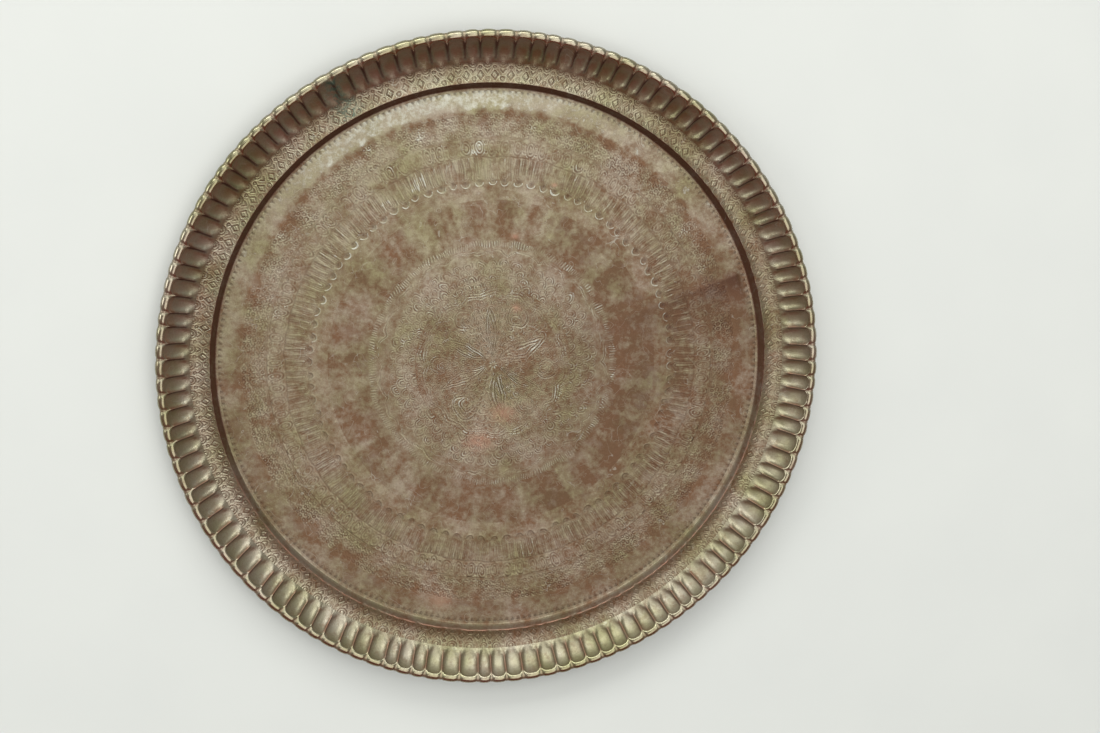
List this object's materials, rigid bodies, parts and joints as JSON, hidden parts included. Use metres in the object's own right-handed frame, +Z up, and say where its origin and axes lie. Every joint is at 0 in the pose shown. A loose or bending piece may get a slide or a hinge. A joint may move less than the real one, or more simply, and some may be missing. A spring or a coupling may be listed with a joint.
{
  "type": "round serving tray",
  "caption": "Large round metal tray with a flat chased floor, a stepped gutter, a fluted wall and a lip rolled over a wire.",
  "frame": {"origin": "middle of the floor's underside, where the tray stands", "axes": "+Z up out of the tray's mouth, along its axis"},
  "size_m": [0.6999, 0.7, 0.0299],
  "materials": {
    "tinned_copper": null,
    "iron_wire": "drawn iron wire, dull and dark"
  },
  "bodies": {
    "root": {"tray_sheet": "tinned_copper", "edge_wire": "iron_wire"}
  },
  "joints": []
}
